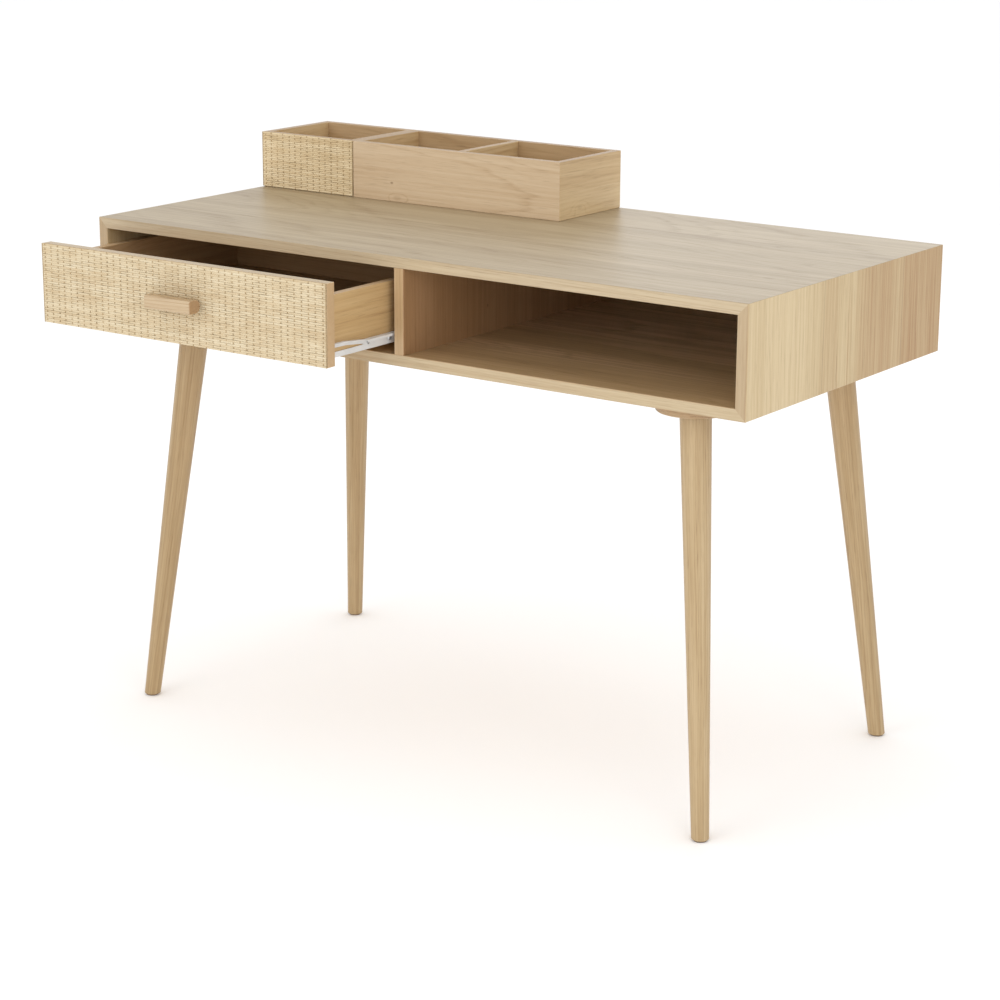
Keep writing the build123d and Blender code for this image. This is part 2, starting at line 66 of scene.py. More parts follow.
CAMERA_PLACE = (2.2778, -3.1288, 1.4313)
CAMERA_YAW = math.radians(35.5)
CAMERA_PITCH = math.radians(15.38)
CAMERA_ROLL = math.radians(0.25)
CAMERA_LENS = 95.9

dice = random.Random(7)


def display(red, green, blue):
    """A colour given as a display shows it, from 0 to 255, as the linear values that a shader takes."""
    linear = []
    for value in (red, green, blue):
        v = value / 255
        linear.append(v / 12.92 if v <= 0.04045 else ((v + 0.055) / 1.055) ** 2.4)
    return (*linear, 1.0)


# ================================================================ shader building
class Recipe:
    """One material, with short calls that add nodes to it and join them."""

    def __init__(self, name):
        self.material = bpy.data.materials.new(name)
        self.material.use_nodes = True
        self.tree = self.material.node_tree
        self.shader = self.tree.nodes["Principled BSDF"]
        place = self.tree.nodes.new("ShaderNodeTexCoord")
        self.point = place.outputs["Object"]
        self.facing = place.outputs["Normal"]

    def put(self, socket, value):
        if isinstance(value, bpy.types.NodeSocket):
            self.tree.links.new(value, socket)
        else:
            socket.default_value = value

    def finish(self, **sockets):
        """Fills in the surface shader. Underscores in the names stand for spaces."""
        for name, value in sockets.items():
            self.put(self.shader.inputs[name.replace("_", " ")], value)
        return self.material

    def math(self, operation, a, b=0.0, c=0.0):
        node = self.tree.nodes.new("ShaderNodeMath")
        node.operation = operation
        for socket, value in zip(node.inputs, (a, b, c)):
            self.put(socket, value)
        return node.outputs[0]

    def split(self, vector):
        node = self.tree.nodes.new("ShaderNodeSeparateXYZ")
        self.put(node.inputs[0], vector)
        return dict(zip("XYZ", node.outputs))

    def join(self, x, y, z):
        node = self.tree.nodes.new("ShaderNodeCombineXYZ")
        for socket, value in zip(node.inputs, (x, y, z)):
            self.put(socket, value)
        return node.outputs[0]

    def mapped(self, vector, scale=(1, 1, 1), turn=(0, 0, 0), shift=(0, 0, 0)):
        node = self.tree.nodes.new("ShaderNodeMapping")
        self.put(node.inputs["Vector"], vector)
        node.inputs["Scale"].default_value = scale
        node.inputs["Rotation"].default_value = turn
        node.inputs["Location"].default_value = shift
        return node.outputs[0]

    def noise(self, vector, scale=1.0, detail=2.0, roughness=0.5):
        node = self.tree.nodes.new("ShaderNodeTexNoise")
        self.put(node.inputs["Vector"], vector)
        node.inputs["Scale"].default_value = scale
        node.inputs["Detail"].default_value = detail
        node.inputs["Roughness"].default_value = roughness
        return node.outputs["Fac"]

    def chance(self, value):
        """A random number from 0 to 1 for each different value."""
        node = self.tree.nodes.new("ShaderNodeTexWhiteNoise")
        node.noise_dimensions = "1D"
        self.put(node.inputs["W"], value)
        return node.outputs["Value"]

    def spread(self, value, low, high, to_low=0.0, to_high=1.0):
        """The value's range low..high, mapped smoothly to another range and held there."""
        node = self.tree.nodes.new("ShaderNodeMapRange")
        node.interpolation_type = "SMOOTHSTEP"
        for socket, number in zip(node.inputs, (value, low, high, to_low, to_high)):
            self.put(socket, number)
        return node.outputs[0]

    def ramp(self, factor, stops):
        node = self.tree.nodes.new("ShaderNodeValToRGB")
        self.put(node.inputs[0], factor)
        elements = node.color_ramp.elements
        while len(elements) < len(stops):
            elements.new(0.5)
        for element, (place, colour) in zip(elements, stops):
            element.position = place
            element.color = colour
        return node.outputs["Color"]

    def mix(self, factor, a, b):
        node = self.tree.nodes.new("ShaderNodeMix")
        node.data_type = "RGBA"
        self.put(node.inputs["Factor"], factor)
        self.put(node.inputs[6], a)
        self.put(node.inputs[7], b)
        return node.outputs[2]

    def bump(self, height, distance, strength=0.6):
        node = self.tree.nodes.new("ShaderNodeBump")
        node.inputs["Strength"].default_value = strength
        node.inputs["Distance"].default_value = distance
        self.put(node.inputs["Height"], height)
        return node.outputs[0]


# ================================================================ wood
PORE = display(118, 88, 58)
RINGS = 240.0
JOINT_HALF = 1.5 * MM
JOINT_DARKNESS = 0.34
TONE_PLACES = (0.05, 0.40, 1.0)

# the figures' scales along the grain, across it and through the board
WOBBLE_SCALE = (1.5, 5.0, 5.0)
RIPPLE_SCALE = (7.0, 70.0, 70.0)
STREAK_SCALE = (2.6, 210.0, 210.0)
BAND_SCALE = (0.7, 17.0, 17.0)
HAIR_SCALE = (30.0, 1300.0, 1300.0)
LINE_SCALE = (1.3, 95.0, 95.0)

# how far the waves move the rings, in metres
WOBBLE_REACH = 0.036
RIPPLE_REACH = 0.0040

# how much each figure adds to the tone
STREAK_SHARE = 0.36
BAND_SHARE = 0.24
RING_SHARE = 0.42
LINE_SHARE = 0.30
LEAF_SHARE = 0.20
PORE_SHARE = 0.5

# one year, from ring to ring: the place in it and how dark and porous the wood is there
YEAR = ((0.0, 0.12), (0.10, 0.02), (0.60, 0.10), (0.88, 1.0), (1.0, 0.12))


def veneer(m, across, through, seed, leaf, joint, heart):
    """Leaves laid side by side, each with its own tone and its own part of the log.

    Gives the place counted in leaves, the leaf's number, its luck, and where in the log it was.
    """
    start = 0.37 + seed * 3.71 if joint is None else 8.0 - joint / leaf
    place = m.math("MULTIPLY_ADD", across, 1.0 / leaf, start)
    index = m.math("FLOOR", place)
    luck = m.chance(m.math("ADD", index, 11.3 * seed))
    local = m.math("MULTIPLY_ADD", m.math("FRACT", place), leaf, heart - 0.5 * leaf)
    local = m.math("MULTIPLY_ADD", luck, 0.09, m.math("SUBTRACT", local, 0.045))
    depth = m.math("MULTIPLY_ADD", luck, 0.045, m.math("ADD", through, 0.05))
    return place, index, luck, local, depth


def log_radius(m, base, local, depth, seed, wander):
    """The distance from the middle of the log, waved a little."""
    wobble = m.noise(m.mapped(base, WOBBLE_SCALE, shift=(seed * 9.1, seed, 0)), detail=1.5)
    ripple = m.noise(m.mapped(base, RIPPLE_SCALE, shift=(seed * 3.3, 0, 0)), detail=2.0)
    squares = m.math("ADD", m.math("MULTIPLY", local, local), m.math("MULTIPLY", depth, depth))
    radius = m.math("MULTIPLY_ADD", wobble, WOBBLE_REACH * wander, m.math("SQRT", squares))
    return m.math("MULTIPLY_ADD", ripple, RIPPLE_REACH * wander, radius)


def add_marks(m, along, across, radius, marks):
    """Bends the rings around each knot or streak. Gives the new radius and how dark the marks are."""
    dark = 0.0
    for mark_along, mark_across, long_half, wide_half, darkness in marks:
        reach = m.math("MULTIPLY_ADD", along, 1 / long_half, -mark_along / long_half)
        side = m.math("MULTIPLY_ADD", across, 1 / wide_half, -mark_across / wide_half)
        squares = m.math("ADD", m.math("POWER", reach, 2.0), m.math("POWER", side, 2.0))
        away = m.math("SQRT", squares)
        radius = m.math("ADD", radius, m.spread(away, 0.0, 5.0, 2.2 * wide_half, 0.0))
        dark = m.math("MAXIMUM", dark, m.spread(away, 0.45, 1.3, darkness, 0.0))
    return radius, dark


def early_wood(m, radius, seed):
    """How dark and porous the wood is, from 0 to 1, by its place in the year's ring."""
    uneven = m.noise(m.join(radius, seed, 0.0), 55.0, detail=1.0)
    years = m.math("MULTIPLY", m.math("MULTIPLY_ADD", uneven, 0.03, radius), RINGS)
    strength = m.chance(m.math("ADD", m.math("FLOOR", years), seed * 31.0))
    early = m.ramp(m.math("FRACT", years), [(place, (v, v, v, 1.0)) for place, v in YEAR])
    return m.math("MULTIPLY", early, m.math("MULTIPLY_ADD", strength, 0.85, 0.15))


def oak_tone(m, base, streak, early, seed, figure):
    """The tone from pale to dark: streaks, broad bands, year rings and thin lines."""
    band = m.noise(m.mapped(base, BAND_SCALE, shift=(seed * 5.0, 0, 0)), detail=2.0)
    line = m.noise(m.mapped(base, LINE_SCALE, shift=(0, seed * 7.0, 0)), detail=2.0)
    tone = m.math("MULTIPLY", m.spread(streak, 0.25, 0.75), STREAK_SHARE)
    tone = m.math("MULTIPLY_ADD", m.spread(band, 0.30, 0.70), BAND_SHARE, tone)
    tone = m.math("MULTIPLY_ADD", early, RING_SHARE * figure, tone)
    tone = m.math("MULTIPLY_ADD", m.spread(line, 0.62, 0.74), LINE_SHARE, tone)
    return m.math("SUBTRACT", tone, 0.05)


def oak_colour(m, tone, facing, tones, faces):
    """The tone as a colour, with other tones on the faces that have their own: lippings, and lighter or
    darker copies as painted light and shade on faces turned to or away from the light.
    """
    colour = m.ramp(tone, tuple(zip(TONE_PLACES, tones)))
    for letter, sign, own_tones in faces:
        own_colour = m.ramp(tone, tuple(zip(TONE_PLACES, own_tones)))
        turned = m.math("MULTIPLY", facing[letter], sign)
        colour = m.mix(m.spread(turned, 0.6, 0.9), colour, own_colour)
    return colour


def oak(name, grain, tones, faces=(), seed=0.0, leaf=0.16, joint=None, figure=1.0, heart=0.0,
        wander=1.0, painted_shade_drift=None, marks=(), point=None, solid=False, coat=0.10):
    """Lacquered oak. grain names the axes along the grain, across it, and through the board.

    leaf is the width of a leaf of veneer, and joint is where two leaves meet. figure is how
    strongly the year rings show. heart is how far the cut is from the middle of the log: near it
    the rings make arches, and far from it they are straight lines. wander is how much the rings
    wave. The darkening across the board is two places across it and how much darker it gets from
    the first to the second: painted shade, for light that falls off across the board. faces are
    the sides with tones of their own, picked by the way they face: a lipping, and also lighter or
    darker copies of the tones, painted light and shade on faces turned to or away from the light.
    Each gives the axis and the sign of the way it faces, and tones. marks are knots and mineral
    streaks: place along and across, half sizes, and darkness. solid wood has no leaves. coat is
    how much clear lacquer lies over the wood.
    """
    m = Recipe(name)
    axes = m.split(point(m) if point else m.point)
    along, across, through = (axes[letter] for letter in grain)
    if solid:
        index = 0.0
        local = m.math("ADD", across, 0.031 + seed * 0.01)
        depth = m.math("ADD", through, 0.036)
    else:
        place, index, luck, local, depth = veneer(m, across, through, seed, leaf, joint, heart)
    depth = m.math("MULTIPLY_ADD", along, 0.022, depth)
    base = m.join(along, across, m.math("MULTIPLY_ADD", index, 5.17, through))

    radius = log_radius(m, base, local, depth, seed, wander)
    radius, dark = add_marks(m, along, across, radius, marks)
    early = early_wood(m, radius, seed)
    streak = m.noise(m.mapped(base, STREAK_SCALE), detail=3.0, roughness=0.65)
    hair = m.noise(m.mapped(base, HAIR_SCALE), detail=1.0)
    pores = m.math("MULTIPLY", m.spread(hair, 0.56, 0.70), m.math("MULTIPLY_ADD", early, 0.65, 0.35))

    tone = oak_tone(m, base, streak, early, seed, figure)
    # painted shade: the tone darkens across the board, standing in for light that falls off there
    if painted_shade_drift:
        near, far, amount = painted_shade_drift
        tone = m.math("ADD", tone, m.spread(across, near, far, 0.0, amount))
    if not solid:
        tone = m.math("MULTIPLY_ADD", luck, LEAF_SHARE, m.math("SUBTRACT", tone, 0.08))
    facing = m.split(m.facing)
    colour = oak_colour(m, tone, facing, tones, faces)
    if not solid:
        fraction = m.math("FRACT", place)
        edge = m.math("MINIMUM", fraction, m.math("SUBTRACT", 1.0, fraction))
        colour = m.mix(m.spread(edge, 0.0, JOINT_HALF / leaf, JOINT_DARKNESS, 0.0), colour, PORE)
    if marks:
        colour = m.mix(dark, colour, PORE)
    colour = m.mix(m.math("MULTIPLY", pores, PORE_SHARE), colour, PORE)

    # end grain drinks more lacquer and shows darker
    if point is None:
        end = m.math("ABSOLUTE", facing[grain[0]])
        colour = m.mix(m.spread(end, 0.55, 0.9, 0.0, 0.75), colour, tones[2])

    height = m.math("MULTIPLY_ADD", pores, -0.8, m.math("MULTIPLY", streak, 0.35))
    height = m.math("MULTIPLY_ADD", early, -0.25, height)
    rough = m.math("MULTIPLY_ADD", streak, 0.10, 0.38)
    rough = m.math("MULTIPLY_ADD", pores, 0.18, rough)
    return m.finish(
        Base_Color=colour,
        Roughness=rough,
        Specular_IOR_Level=0.42,
        Coat_Weight=coat,
        Coat_Roughness=0.30,
        Normal=m.bump(height, 0.12 * MM, 0.5),
    )


# painted shade: the desktop's tones are darker than the case's, for the lesser light on its top
SHADED_TOP_TONES = (display(177, 160, 130), display(162, 144, 113), display(130, 106, 75))
# the front lippings: a lighter edge band, made lighter still as painted light on the front faces
LIT_STRIP_TONES = (display(201, 185, 155), display(189, 170, 139), display(158, 133, 99))
LIT_FLOOR_STRIP_TONES = (display(216, 202, 170), display(203, 186, 153), display(171, 146, 111))
CASE_TONES = (display(198, 176, 144), display(185, 161, 127), display(152, 123, 90))
SIDE_TONES = (display(206, 185, 146), display(193, 170, 129), display(164, 126, 82))
# the side panels' front lipping, darker than the side faces as painted shade
SHADED_SIDE_STRIP_TONES = (display(182, 160, 127), display(171, 146, 113), display(140, 112, 79))
ORGANISER_TONES = (display(210, 187, 155), display(199, 173, 139), display(164, 132, 95))
ORGANISER_END_TONES = (display(209, 183, 140), display(198, 169, 125), display(163, 129, 85))
# painted shade: darker tones for the organiser's upward faces, its board tops and inner floors
ORGANISER_TOP_SHADE_TONES = (display(170, 142, 105), display(159, 130, 94), display(130, 99, 65))
# painted shade: darker tones for the organiser's back boards, whose faces look into its shaded inside
SHADED_ORGANISER_BACK_TONES = (display(191, 163, 126), display(178, 149, 110), display(146, 113, 75))
DRAWER_TONES = (display(206, 175, 128), display(192, 158, 110), display(158, 123, 79))
# painted shade: darker tones for the drawer's top edges and for the faces that look into it
DRAWER_TOP_SHADE_TONES = (display(185, 158, 122), display(173, 142, 105), display(142, 111, 75))
DRAWER_INSIDE_SHADE_TONES = (display(183, 152, 114), display(170, 137, 98), display(140, 107, 70))
FRONT_TONES = (display(226, 200, 164), display(216, 187, 148), display(184, 151, 110))
# painted shade: darker tones for the top edge of the drawer front
FRONT_TOP_SHADE_TONES = (display(189, 171, 142), display(179, 158, 127), display(149, 124, 91))
LEG_TONES = (display(189, 165, 127), display(171, 144, 104), display(134, 104, 65))
PLATE_TONES = (display(190, 162, 126), display(176, 147, 110), display(143, 113, 77))
HANDLE_TONES = (display(204, 183, 151), display(190, 166, 132), display(157, 120, 82))
# painted shade: darker tones for the handle's top
HANDLE_TOP_SHADE_TONES = (display(183, 157, 121), display(170, 143, 107), display(138, 109, 76))
# painted shade: warm tones for the shelf floor, standing in for the warm shade inside the shelf
SHELF_SHADE_TONES = (display(233, 197, 163), display(192, 161, 120), display(160, 128, 88))
# painted shade: darker, warmer tones for the divider, whose faces stand in the shade of the shelf
SHADED_DIVIDER_TONES = (display(178, 139, 101), display(166, 127, 88), display(137, 99, 64))
DIVIDER_STRIP_TONES = (display(196, 168, 131), display(183, 153, 114), display(151, 119, 84))
RAFFIA_TONES = (display(217, 202, 172), display(206, 187, 153), display(194, 171, 135),
                display(175, 147, 106))
BOX_RAFFIA_TONES = (display(225, 206, 170), display(213, 191, 152), display(199, 174, 133),
                    display(178, 149, 103))
RAFFIA_PLACES = (0.11, 0.48, 0.79, 1.0)

# every board: its grain, then the family that its look comes from
BOARDS = {
    "desktop_panel": ("XYZ", "top"),
    "case_floor_panel": ("XYZ", "shelf"),
    "left_side_panel": ("ZYX", "side"),
    "right_side_panel": ("ZYX", "side"),
    "divider_panel": ("ZYX", "divider"),
    "back_panel": ("XZY", "case"),
    "box_front_backer": ("XZY", "organiser"),
    "box_left_end": ("YZX", "end"),
    "box_right_end": ("YZX", "end"),
    "box_back": ("XZY", "inner"),
    "box_floor": ("XYZ", "organiser"),
    "tray_front": ("XZY", "organiser"),
    "tray_left_end": ("YZX", "end"),
    "tray_right_end": ("YZX", "end"),
    "tray_back": ("XZY", "inner"),
    "tray_divider": ("YZX", "end"),
    "tray_floor": ("XYZ", "organiser"),
    "drawer_front_board": ("XZY", "front"),
    "drawer_left_side": ("YZX", "drawer"),
    "drawer_right_side": ("YZX", "drawer"),
    "drawer_back": ("XZY", "drawer"),
    "drawer_bottom": ("XYZ", "drawer"),
}
# the organiser's upward faces take the painted shade tones
ORGANISER_UPWARD_SHADE = ("Z", 1, ORGANISER_TOP_SHADE_TONES)
ORGANISER_CUT = dict(faces=(ORGANISER_UPWARD_SHADE,), leaf=0.4, joint=0.6, figure=0.8, heart=0.02)
# the darkening across a board is painted shade: the desktop darkens towards the back to tone down its
# reflection, the side panels towards the back, and the shelf floor towards its front
FAMILIES = {
    "top": dict(tones=SHADED_TOP_TONES, faces=(("Y", -1, LIT_STRIP_TONES),), leaf=0.19, figure=0.6,
                heart=0.10, wander=0.8, painted_shade_drift=(-0.06, 0.20, 0.16), coat=0.19),
    "shelf": dict(tones=SHELF_SHADE_TONES, faces=(("Y", -1, LIT_FLOOR_STRIP_TONES),), leaf=0.19, figure=0.5,
                  heart=0.10, painted_shade_drift=(-0.02, -0.14, 0.40)),
    "case": dict(tones=CASE_TONES, leaf=0.19, figure=0.7, heart=0.10, wander=0.8),
    "side": dict(tones=SIDE_TONES, faces=(("Y", -1, SHADED_SIDE_STRIP_TONES),), leaf=0.23, joint=0.013,
                 figure=0.45, heart=0.30, wander=0.25, painted_shade_drift=(-0.16, 0.24, 0.33)),
    "divider": dict(tones=SHADED_DIVIDER_TONES, faces=(("Y", -1, DIVIDER_STRIP_TONES),), leaf=0.3,
                    figure=0.35, heart=0.30, wander=0.2),
    "front": dict(tones=FRONT_TONES, faces=(("Z", 1, FRONT_TOP_SHADE_TONES),), leaf=0.3, figure=0.5,
                  heart=0.06),
    "organiser": dict(tones=ORGANISER_TONES, **ORGANISER_CUT),
    "end": dict(tones=ORGANISER_END_TONES, **ORGANISER_CUT),
    "inner": dict(tones=SHADED_ORGANISER_BACK_TONES, **ORGANISER_CUT),
    "drawer": dict(tones=DRAWER_TONES, leaf=0.3, figure=0.5, heart=0.06),
}
# the faces of the drawer's boards that look into it, and their top edges, with darker tones as painted
# shade
DRAWER_UPWARD_SHADE = ("Z", 1, DRAWER_TOP_SHADE_TONES)
DRAWER_SHADE_FACES = {
    "drawer_left_side": (("X", 1, DRAWER_INSIDE_SHADE_TONES), DRAWER_UPWARD_SHADE),
    "drawer_right_side": (("X", -1, DRAWER_INSIDE_SHADE_TONES), DRAWER_UPWARD_SHADE),
    "drawer_back": (("Y", -1, DRAWER_INSIDE_SHADE_TONES), DRAWER_UPWARD_SHADE),
    "drawer_bottom": (("Z", 1, DRAWER_INSIDE_SHADE_TONES),),
}
# knots and mineral streaks: place along and across the grain, half sizes, and darkness
MARKS = {
    "desktop_panel": ((0.46, 0.20, 0.020, 0.0040, 0.34), (0.42, 0.222, 0.030, 0.0024, 0.20),
                      (0.505, -0.02, 0.009, 0.0036, 0.22)),
    "divider_panel": ((0.664, 0.014, 0.0028, 0.0014, 0.75),),
    "tray_front": ((-0.307, 0.795, 0.0030, 0.0018, 0.60), (-0.297, 0.772, 0.0080, 0.0032, 0.12)),
    "tray_right_end": ((0.251, 0.780, 0.0070, 0.0036, 0.14),),
}


def dress(node, material):
    """Gives a CAD node one material in every slot."""
    mesh = nodes[node].data
    if not mesh.materials:
        mesh.materials.append(material)
    for i in range(len(mesh.materials)):
        mesh.materials[i] = material


for number, (node, (grain, family)) in enumerate(BOARDS.items()):
    look = dict(FAMILIES[family])
    if node in DRAWER_SHADE_FACES:
        look["faces"] = DRAWER_SHADE_FACES[node]
    dress(node, oak(
        "oak_" + node, grain, seed=0.13 * number + 0.4, marks=MARKS.get(node, ()), **look
    ))


def leg_point(top, foot):
    """Coordinates whose X runs down the leg's axis."""
    turn = (foot - top).rotation_difference(Vector((1, 0, 0)))
    shift = -(turn @ top)

    def build(m):
        return m.mapped(m.point, turn=turn.to_euler(), shift=shift)

    return build


for number, corner in enumerate(("front_left", "front_right", "back_left", "back_right")):
    plate_low, plate_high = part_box("leg_plate_" + corner)
    glide_low, glide_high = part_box("foot_glide_" + corner)
    top = (plate_low + plate_high) / 2
    top.z = plate_high.z
    foot = (glide_low + glide_high) / 2
    foot.z = 0.0
    dress("leg_" + corner, oak(
        "oak_leg_" + corner, "XYZ", LEG_TONES, seed=0.7 * number + 0.2,
        point=leg_point(top, foot), solid=True, figure=0.8,
    ))
    dress("leg_plate_" + corner, oak(
        "oak_plate_" + corner, "XYZ", PLATE_TONES, seed=0.9 * number + 0.5, solid=True,
    ))
# the handle's top faces take darker tones, painted shade
dress("handle", oak(
    "oak_handle", "XZY", HANDLE_TONES, faces=(("Z", 1, HANDLE_TOP_SHADE_TONES),), seed=2.2, solid=True,
    figure=1.3
))


# ================================================================ small hardware
def birch_ply(name):
    m = Recipe(name)
    layer = m.noise(m.mapped(m.point, (30, 30, 900)), detail=2.0)
    fibre = m.noise(m.mapped(m.point, (15, 15, 300)), detail=3.0)
    colour = m.ramp(layer, ((0.35, display(214, 188, 146)), (0.65, display(176, 142, 98))))
    return m.finish(Base_Color=colour, Roughness=m.spread(fibre, 0, 1, 0.55, 0.75),
                    Normal=m.bump(fibre, 0.1 * MM))


def beech(name):
    m = Recipe(name)
    fleck = m.noise(m.mapped(m.point, (900, 900, 160)), detail=2.0)
    colour = m.ramp(fleck, ((0.3, display(222, 190, 150)), (0.7, display(193, 155, 112))))
    return m.finish(Base_Color=colour, Roughness=m.spread(fleck, 0, 1, 0.45, 0.65),
                    Normal=m.bump(fleck, 0.05 * MM))


def white_epoxy(name):
    m = Recipe(name)
    peel = m.noise(m.point, 900.0, detail=2.0)
    haze = m.noise(m.point, 35.0, detail=4.0)
    colour = m.ramp(haze, ((0.3, display(226, 225, 223)), (0.75, display(213, 211, 208))))
    return m.finish(Base_Color=colour, Roughness=m.spread(haze, 0.3, 0.7, 0.30, 0.42),
                    Specular_IOR_Level=0.5, Normal=m.bump(peel, 0.03 * MM, 0.4))


def zinc(name):
    m = Recipe(name)
    brushed = m.noise(m.mapped(m.point, (3000, 260, 3000)), detail=2.0)
    patina = m.noise(m.point, 700.0, detail=3.0)
    colour = m.ramp(patina, ((0.3, display(208, 208, 206)), (0.7, display(172, 174, 178))))
    return m.finish(Base_Color=colour, Metallic=1.0,
                    Roughness=m.spread(brushed, 0.25, 0.75, 0.24, 0.45),
                    Normal=m.bump(brushed, 0.02 * MM, 0.3))


def nylon(name):
    m = Recipe(name)
    grain = m.noise(m.point, 2200.0, detail=2.0)
    cloud = m.noise(m.point, 160.0, detail=2.0)
    colour = m.ramp(cloud, ((0.3, display(236, 236, 232)), (0.7, display(222, 221, 214))))
    return m.finish(Base_Color=colour, Roughness=m.spread(grain, 0.2, 0.8, 0.34, 0.48),
                    Normal=m.bump(grain, 0.015 * MM, 0.4))


def glide_plastic(name):
    m = Recipe(name)
    grain = m.noise(m.point, 1500.0, detail=3.0)
    scuff = m.noise(m.mapped(m.point, (400, 900, 400)), detail=3.0)
    colour = m.ramp(scuff, ((0.35, display(96, 76, 56)), (0.75, display(122, 100, 76))))
    return m.finish(Base_Color=colour, Roughness=m.spread(grain, 0.2, 0.8, 0.42, 0.6),
                    Normal=m.bump(grain, 0.03 * MM, 0.5))


FINISHES = {
    birch_ply: ["mitre_splines"],
    beech: ["divider_dowels", "organizer_dowels", "drawer_dowels"],
    white_epoxy: ["runner_case_left", "runner_case_right", "runner_drawer_left", "runner_drawer_right"],
    zinc: ["back_panel_screws", "organizer_screws", "leg_plate_screws", "leg_hanger_bolts",
           "runner_case_screws", "runner_drawer_screws", "case_roller_rivets", "drawer_roller_rivets",
           "drawer_back_screws", "handle_screws"],
    nylon: ["case_roller_left", "case_roller_right", "drawer_roller_left", "drawer_roller_right"],
    glide_plastic: ["foot_glide_front_left", "foot_glide_front_right", "foot_glide_back_left",
                    "foot_glide_back_right"],
}
for make, names in FINISHES.items():
    shared = make(make.__name__)
    for node in names:
        dress(node, shared)


# ================================================================ woven facing
def raffia(name, tones):
    """Straw strands: each has its own tone, fine fibres along it and paler and darker stretches."""
    m = Recipe(name)
    mark = m.tree.nodes.new("ShaderNodeAttribute")
    mark.attribute_name = "tone"
    own = mark.outputs["Fac"]
    patch = m.noise(m.mapped(m.point, (34, 34, 90)), detail=2.0)
    fibre = m.noise(m.mapped(m.point, (90, 2600, 2600)), detail=2.0)
    tone = m.math("MULTIPLY_ADD", m.spread(patch, 0.3, 0.7), 0.26, m.math("MULTIPLY", own, 0.36))
    tone = m.math("MULTIPLY_ADD", m.spread(fibre, 0.3, 0.7), 0.20, tone)
    colour = m.ramp(tone, tuple(zip(RAFFIA_PLACES, tones)))
    return m.finish(Base_Color=colour, Roughness=m.spread(fibre, 0.2, 0.8, 0.50, 0.72),
                    Specular_IOR_Level=0.35, Normal=m.bump(fibre, 0.12 * MM, 0.7))


def warp_thread(name):
    m = Recipe(name)
    twist = m.noise(m.mapped(m.point, (1600, 1600, 700), turn=(0, 0.6, 0)), detail=2.0)
    colour = m.ramp(twist, ((0.3, display(196, 170, 128)), (0.7, display(160, 134, 95))))
    return m.finish(Base_Color=colour, Roughness=m.spread(twist, 0.2, 0.8, 0.6, 0.8),
                    Normal=m.bump(twist, 0.1 * MM, 0.8))


def backing_cloth(name):
    m = Recipe(name)
    weave = m.noise(m.mapped(m.point, (1100, 1100, 1100)), detail=2.0)
    colour = m.ramp(weave, ((0.3, display(196, 168, 128)), (0.7, display(168, 142, 103))))
    return m.finish(Base_Color=colour, Roughness=m.spread(weave, 0.2, 0.8, 0.75, 0.9),
                    Normal=m.bump(weave, 0.1 * MM, 0.6))


class Mesh:
    """Vertices, faces and a tone for each vertex, gathered strand by strand."""

    def __init__(self):
        self.points = []
        self.faces = []
        self.tones = []
        self.slots = []

    def tube(self, line, across, out, halves, tone, slot=0, sides=6):
        """A closed strand along a line of points, flattened: halves gives its two half sizes at each."""
        first = len(self.points)
        for centre, (wide, thick) in zip(line, halves):
            for k in range(sides):
                angle = 2 * math.pi * (k + 0.5) / sides
                offset = across * (wide * math.cos(angle)) + out * (thick * math.sin(angle))
                self.points.append(centre + offset)
                self.tones.append(tone)
        for i in range(len(line) - 1):
            for k in range(sides):
                a = first + i * sides + k
                b = first + i * sides + (k + 1) % sides
                self.faces.append((a, b, b + sides, a + sides))
                self.slots.append(slot)
        last = first + (len(line) - 1) * sides
        self.faces.append(tuple(first + k for k in reversed(range(sides))))
        self.faces.append(tuple(last + k for k in range(sides)))
        self.slots += [slot, slot]

    def plate(self, low, high, tone, slot):
        """A thin closed sheet between two corners."""
        first = len(self.points)
        for x in (low.x, high.x):
            for y in (low.y, high.y):
                for z in (low.z, high.z):
                    self.points.append(Vector((x, y, z)))
                    self.tones.append(tone)
        for face in ((0, 1, 3, 2), (4, 6, 7, 5), (0, 4, 5, 1), (2, 3, 7, 6), (0, 2, 6, 4), (1, 5, 7, 3)):
            self.faces.append(tuple(first + i for i in face))
            self.slots.append(slot)

    def build(self, name, materials):
        mesh = bpy.data.meshes.new(name)
        mesh.from_pydata(self.points, [], self.faces)
        for material in materials:
            mesh.materials.append(material)
        mesh.polygons.foreach_set("material_index", self.slots)
        mesh.polygons.foreach_set("use_smooth", [True] * len(self.faces))
        tone = mesh.attributes.new("tone", "FLOAT", "POINT")
        tone.data.foreach_set("value", self.tones)
        mesh.update()
        piece = bpy.data.objects.new(name, mesh)
        bpy.context.scene.collection.objects.link(piece)
        return piece


